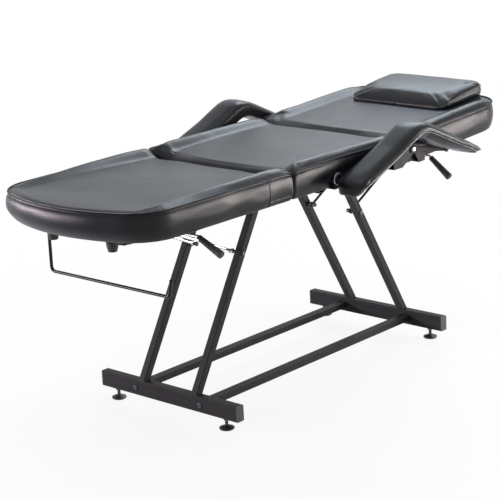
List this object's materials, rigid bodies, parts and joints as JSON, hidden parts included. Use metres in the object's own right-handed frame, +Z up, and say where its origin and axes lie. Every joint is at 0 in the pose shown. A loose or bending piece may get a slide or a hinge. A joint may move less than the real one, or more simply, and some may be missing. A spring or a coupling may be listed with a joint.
{
  "type": "tattoo chair",
  "caption": "Three-section reclining tattoo and salon chair with padded armrests, head pillow, clamp levers and a paper roll rod on a leaning-leg steel base.",
  "frame": {"origin": "centre of the bounding box, on the floor under the levelling feet", "axes": "+Y towards the head end, +X towards the sitter's left, where the clamp levers reach out, +Z up"},
  "size_m": [0.861, 1.8361, 0.8238],
  "materials": {
    "black_leather": "smooth upholstery leather with a soft sheen",
    "board_wood": "dark painted plywood",
    "black_rubber": "matt ribbed rubber",
    "black_plastic": "moulded matt plastic",
    "gloss_black_paint": "gloss black paint",
    "bright_steel": "zinc plated, bright",
    "dark_steel": "black oxide",
    "black_paint": "satin black powder coat"
  },
  "bodies": {
    "base": {"arm_pivot_discs": "bright_steel", "arm_pivot_pins": "bright_steel", "back_hinge_pins": "bright_steel", "bar_end_caps": "black_plastic", "foot_locknuts": "dark_steel", "front_foot_bar": "black_paint", "front_left_leg": "black_paint", "front_right_leg": "black_paint", "left_arm_bracket": "black_paint", "left_floor_rail": "black_paint", "left_seat_hinge_plate": "black_paint", "leg_hinge_pins": "bright_steel", "pivot_knobs": "black_plastic", "rail_bolts": "dark_steel", "rear_foot_bar": "black_paint", "rear_left_leg": "black_paint", "rear_right_leg": "black_paint", "right_arm_bracket": "black_paint", "right_floor_rail": "black_paint", "right_seat_hinge_plate": "black_paint", "seat_board": "board_wood", "seat_cushion": "black_leather", "seat_frame": "black_paint", "spacer_sleeves": "dark_steel", "strut_pivot_bolts": "dark_steel", "upper_leg_bolts": "dark_steel", "upper_leg_nuts": "dark_steel"},
    "leg_section": {"leg_frame": "black_paint", "leg_board": "board_wood", "leg_cushion": "black_leather", "leg_slot_plates": "black_paint", "foot_bumpers": "black_rubber"},
    "paper_holder": {"paper_roll_holder": "gloss_black_paint"},
    "leg_strut": {"leg_strut": "bright_steel"},
    "leg_lever": {"leg_lever": "bright_steel", "leg_lever_grip": "black_rubber"},
    "back_section": {"back_frame": "black_paint", "back_board": "board_wood", "back_cushion": "black_leather", "back_slot_plates": "black_paint", "left_back_hinge_plate": "black_paint", "right_back_hinge_plate": "black_paint", "arm_guide_pins": "dark_steel"},
    "head_pillow": {"head_pillow": "black_leather"},
    "back_strut": {"back_strut": "black_paint"},
    "back_lever": {"back_lever": "bright_steel", "back_lever_grip": "black_rubber"},
    "left_armrest": {"left_arm_pad": "black_leather", "left_arm_plate": "black_paint"},
    "right_armrest": {"right_arm_pad": "black_leather", "right_arm_plate": "black_paint"},
    "front_left_levelling_foot": {"front_left_levelling_foot": "black_plastic"},
    "front_right_levelling_foot": {"front_right_levelling_foot": "black_plastic"},
    "rear_left_levelling_foot": {"rear_left_levelling_foot": "black_plastic"},
    "rear_right_levelling_foot": {"rear_right_levelling_foot": "black_plastic"}
  },
  "joints": [
    {"name": "leg_fold", "type": "hinge", "parent": "base", "child": "leg_section", "pos_m": [0, -0.228, 0.645], "axis": [1, 0, 0], "range_deg": [0, 42]},
    {"name": "leg_strut_swing", "type": "hinge", "parent": "base", "child": "leg_strut", "pos_m": [0, -0.2634, 0.474], "axis": [1, 0, 0], "range_deg": [0, 54.6]},
    {"name": "leg_lever_clamp", "type": "hinge", "parent": "leg_strut", "child": "leg_lever", "pos_m": [0.0875, -0.581, 0.618], "axis": [1, 0, 0], "range_deg": [0, 75]},
    {"name": "paper_holder_swing", "type": "hinge", "parent": "leg_section", "child": "paper_holder", "pos_m": [-0.238, -0.717, 0.64], "axis": [0, 0, 1], "range_deg": [-90, 0]},
    {"name": "back_tilt", "type": "hinge", "parent": "base", "child": "back_section", "pos_m": [0, 0.349, 0.701], "axis": [1, 0, 0], "range_deg": [0, 75]},
    {"name": "back_strut_swing", "type": "hinge", "parent": "base", "child": "back_strut", "pos_m": [0, 0.3134, 0.474], "axis": [1, 0, 0], "range_deg": [0, 34.5]},
    {"name": "back_lever_clamp", "type": "hinge", "parent": "back_strut", "child": "back_lever", "pos_m": [0.0875, 0.581, 0.62], "axis": [1, 0, 0], "range_deg": [0, 75]},
    {"name": "left_armrest_swing", "type": "hinge", "parent": "base", "child": "left_armrest", "pos_m": [0.32, -0.033, 0.682], "axis": [1, 0, 0], "range_deg": [0, 19.5]},
    {"name": "right_armrest_swing", "type": "hinge", "parent": "base", "child": "right_armrest", "pos_m": [-0.32, -0.033, 0.682], "axis": [1, 0, 0], "range_deg": [0, 19.5]},
    {"name": "head_pillow_slide", "type": "slide", "parent": "back_section", "child": "head_pillow", "axis": [0, 0.9986, 0.0523], "range_m": [-0.1, 0]},
    {"name": "front_left_levelling_foot_turn", "type": "hinge", "parent": "base", "child": "front_left_levelling_foot", "pos_m": [0.23, -0.488, 0.02], "axis": [0, 0, 1], "continuous": true},
    {"name": "front_right_levelling_foot_turn", "type": "hinge", "parent": "base", "child": "front_right_levelling_foot", "pos_m": [-0.23, -0.488, 0.02], "axis": [0, 0, 1], "continuous": true},
    {"name": "rear_left_levelling_foot_turn", "type": "hinge", "parent": "base", "child": "rear_left_levelling_foot", "pos_m": [0.23, 0.538, 0.02], "axis": [0, 0, 1], "continuous": true},
    {"name": "rear_right_levelling_foot_turn", "type": "hinge", "parent": "base", "child": "rear_right_levelling_foot", "pos_m": [-0.23, 0.538, 0.02], "axis": [0, 0, 1], "continuous": true}
  ],
  "couplings": [
    {"joint": "leg_strut_swing", "follows": "leg_fold", "ratio": 1.3},
    {"joint": "back_strut_swing", "follows": "back_tilt", "ratio": 0.46},
    {"joint": "left_armrest_swing", "follows": "back_tilt", "ratio": 0.26},
    {"joint": "right_armrest_swing", "follows": "back_tilt", "ratio": 0.26}
  ]
}
